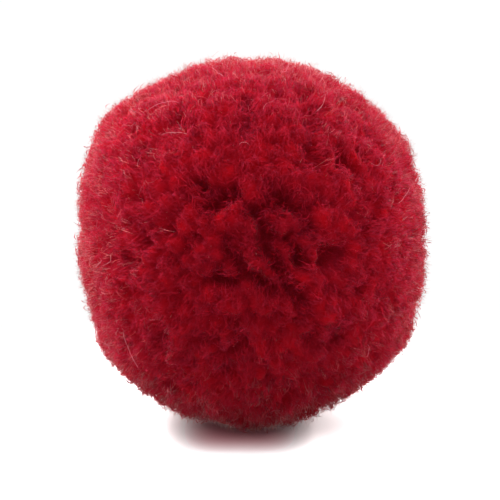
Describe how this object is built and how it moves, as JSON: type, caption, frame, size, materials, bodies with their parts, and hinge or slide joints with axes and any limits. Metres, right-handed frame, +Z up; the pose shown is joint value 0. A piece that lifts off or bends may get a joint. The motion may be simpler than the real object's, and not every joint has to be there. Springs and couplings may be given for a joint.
{
  "type": "plush pom-pom",
  "caption": "Round plush pom-pom of dense cut yarn, trimmed a little squarish, that rests on a small level patch of its own pile.",
  "frame": {"origin": "middle of the level patch of cut ends that it rests on, straight under the hidden tie", "axes": "+Z up through the tie, -Y towards the side that faces the viewer, +X to the viewer's right"},
  "size_m": [0.0592, 0.06, 0.0624],
  "materials": {
    "yarn": "matte crimson yarn, cut and brushed to a soft pile"
  },
  "bodies": {
    "root": {"yarn_pile": "yarn"}
  },
  "joints": []
}
